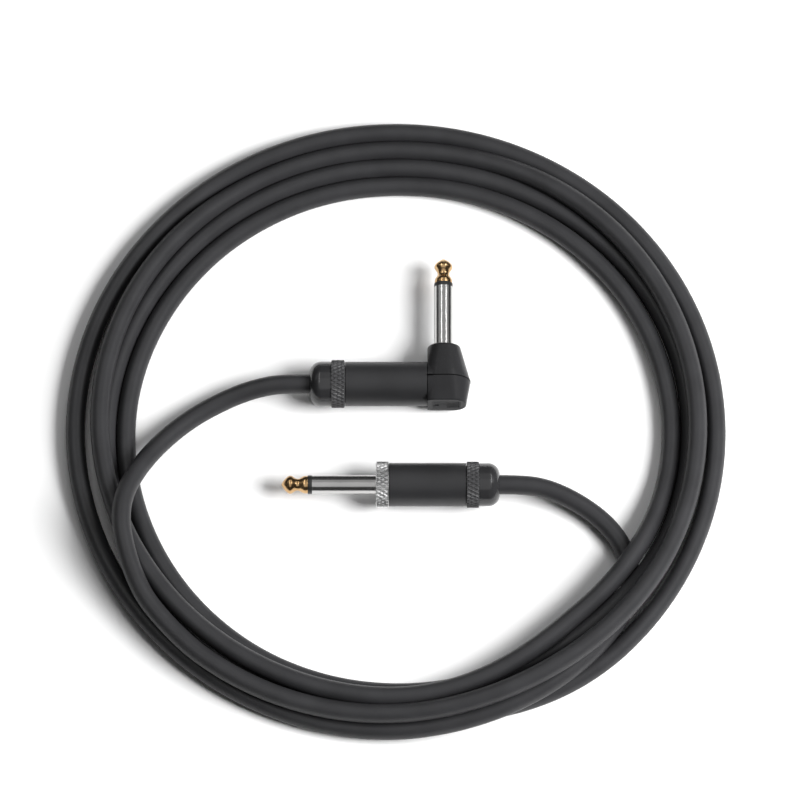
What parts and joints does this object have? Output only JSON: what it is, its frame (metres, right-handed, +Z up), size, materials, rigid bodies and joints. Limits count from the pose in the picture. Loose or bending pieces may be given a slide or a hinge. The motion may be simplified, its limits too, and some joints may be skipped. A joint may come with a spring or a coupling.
{
  "type": "instrument cable",
  "caption": "Coiled instrument cable with a straight jack plug on one end and a right-angle jack plug on the other.",
  "frame": {"origin": "on the surface it lies on, under the centre of the box round the two plugs", "axes": "+Z up from the surface; +X from the straight plug's tip towards its cable end; +Y along the right-angle plug's shaft, towards its tip"},
  "size_m": [0.2228, 0.2228, 0.0162],
  "materials": {
    "gold_contact": "gold-plated, polished",
    "nickel": "nickel plate, satin",
    "insulator": "moulded black plastic",
    "terminal_tin": "tinned brass strip",
    "shell_satin": "satin black coat",
    "liner_film": "translucent natural plastic",
    "chuck_plastic": "natural nylon",
    "black_knurl": "black coat over diamond knurl",
    "boot_gloss": "glossy black plastic",
    "jacket": "satin black flexible jacket",
    "core_plastic": "white polyethylene",
    "copper": "bare copper",
    "solder": "bright solder",
    "chrome_knurl": "chrome plate over diamond knurl",
    "head_gloss": "glossy black moulding"
  },
  "bodies": {
    "plugs_and_cable": {"angle_core": "core_plastic", "angle_end_cap": "head_gloss", "angle_ground_lug": "terminal_tin", "angle_head_back": "head_gloss", "angle_head_front": "head_gloss", "angle_jacket_end": "jacket", "angle_lead": "jacket", "angle_liner": "liner_film", "angle_lug_washer": "insulator", "angle_shell": "shell_satin", "angle_shield_tail": "copper", "angle_sleeve": "nickel", "angle_solder": "solder", "angle_stem_tube": "insulator", "angle_tip": "gold_contact", "angle_tip_lug": "terminal_tin", "angle_tip_ring": "insulator", "angle_wire": "copper", "cable_coil": "jacket", "straight_core": "core_plastic", "straight_front_ring": "chrome_knurl", "straight_ground_lug": "terminal_tin", "straight_jacket_end": "jacket", "straight_lead": "jacket", "straight_liner": "liner_film", "straight_lug_washer": "insulator", "straight_shell": "shell_satin", "straight_shield_tail": "copper", "straight_sleeve": "nickel", "straight_solder": "solder", "straight_stem_tube": "insulator", "straight_tip": "gold_contact", "straight_tip_lug": "terminal_tin", "straight_tip_ring": "insulator", "straight_wire": "copper"},
    "straight_chuck": {"straight_chuck": "chuck_plastic"},
    "straight_bushing": {"straight_back_ring": "black_knurl", "straight_boot": "boot_gloss"},
    "angle_chuck": {"angle_chuck": "chuck_plastic"},
    "angle_bushing": {"angle_back_ring": "black_knurl", "angle_boot": "boot_gloss"}
  },
  "joints": [
    {"name": "straight_chuck_slide", "type": "slide", "parent": "plugs_and_cable", "child": "straight_chuck", "axis": [1, 0, 0], "range_m": [0, 0.004]},
    {"name": "straight_bushing_turn", "type": "hinge", "parent": "straight_chuck", "child": "straight_bushing", "pos_m": [0.02545, -0.0366, 0.0078], "axis": [1, 0, 0], "range_deg": [0, 1440]},
    {"name": "angle_chuck_slide", "type": "slide", "parent": "plugs_and_cable", "child": "angle_chuck", "axis": [-1, 0, 0], "range_m": [0, 0.004]},
    {"name": "angle_bushing_turn", "type": "hinge", "parent": "angle_chuck", "child": "angle_bushing", "pos_m": [-0.0153, -0.0006, 0.0081], "axis": [-1, 0, 0], "range_deg": [0, 1440]}
  ],
  "couplings": [
    {"joint": "straight_chuck_slide", "follows": "straight_bushing_turn", "m_per_rad": 0.00015915},
    {"joint": "angle_chuck_slide", "follows": "angle_bushing_turn", "m_per_rad": 0.00015915}
  ]
}
